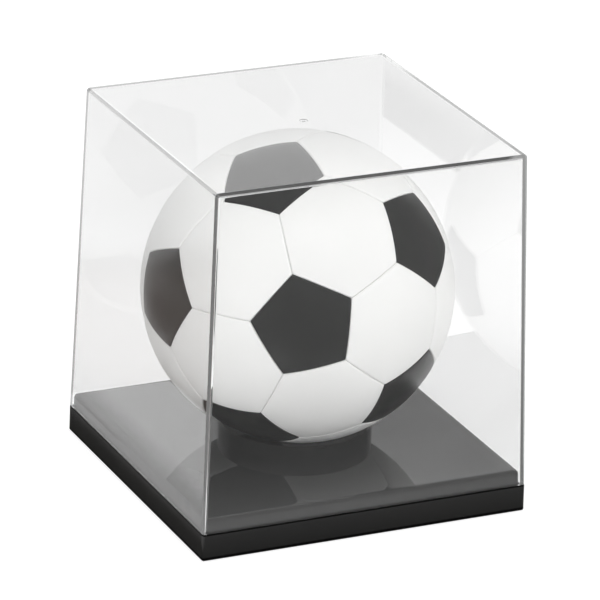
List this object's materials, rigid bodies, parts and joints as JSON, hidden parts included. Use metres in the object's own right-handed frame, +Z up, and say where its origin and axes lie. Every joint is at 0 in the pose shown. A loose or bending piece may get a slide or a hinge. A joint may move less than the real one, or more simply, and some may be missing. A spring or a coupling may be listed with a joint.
{
  "type": "ball display case",
  "caption": "Square clear lift-off cover over a black moulded base with a ring stand, showing a stitched football of black and white panels that turns in the ring.",
  "frame": {"origin": "on the shelf under the middle of the base, at the height of the feet's undersides", "axes": "+Z up, -Y and -X the two upright faces that the picture shows, -Y the one turned more to the camera"},
  "size_m": [0.2474, 0.2474, 0.265],
  "materials": {
    "gloss_black_plastic": "polished black moulding",
    "clear_plastic": "clear moulded plastic, polished",
    "black_covering": "semi-gloss synthetic leather",
    "white_covering": "semi-gloss synthetic leather",
    "bladder_rubber": "matte",
    "foot_rubber": "matte",
    "zinc_steel": "zinc plated"
  },
  "bodies": {
    "base": {"base_tray": "gloss_black_plastic", "ball_ring": "gloss_black_plastic", "ring_screw_1": "zinc_steel", "ring_screw_2": "zinc_steel", "ring_screw_3": "zinc_steel", "ring_screw_4": "zinc_steel", "rubber_foot_1": "foot_rubber", "rubber_foot_2": "foot_rubber", "rubber_foot_3": "foot_rubber", "rubber_foot_4": "foot_rubber"},
    "cover": {"clear_cover": "clear_plastic"},
    "ball": {"black_panel_01": "black_covering", "black_panel_02": "black_covering", "black_panel_03": "black_covering", "black_panel_04": "black_covering", "black_panel_05": "black_covering", "black_panel_06": "black_covering", "black_panel_07": "black_covering", "black_panel_08": "black_covering", "black_panel_09": "black_covering", "black_panel_10": "black_covering", "black_panel_11": "black_covering", "black_panel_12": "black_covering", "white_panel_01": "white_covering", "white_panel_02": "white_covering", "white_panel_03": "white_covering", "white_panel_04": "white_covering", "white_panel_05": "white_covering", "white_panel_06": "white_covering", "white_panel_07": "white_covering", "white_panel_08": "white_covering", "white_panel_09": "white_covering", "white_panel_10": "white_covering", "white_panel_11": "white_covering", "white_panel_12": "white_covering", "white_panel_13": "white_covering", "white_panel_14": "white_covering", "white_panel_15": "white_covering", "white_panel_16": "white_covering", "white_panel_17": "white_covering", "white_panel_18": "white_covering", "white_panel_19": "white_covering", "white_panel_20": "white_covering", "bladder": "bladder_rubber", "valve": "bladder_rubber"}
  },
  "joints": [
    {"name": "cover_lift", "type": "slide", "parent": "base", "child": "cover", "axis": [0, 0, 1], "range_m": [0, 0.25]},
    {"name": "ball_turn", "type": "hinge", "parent": "base", "child": "ball", "pos_m": [0, 0, 0.1404], "axis": [0, 0, 1], "continuous": true}
  ]
}
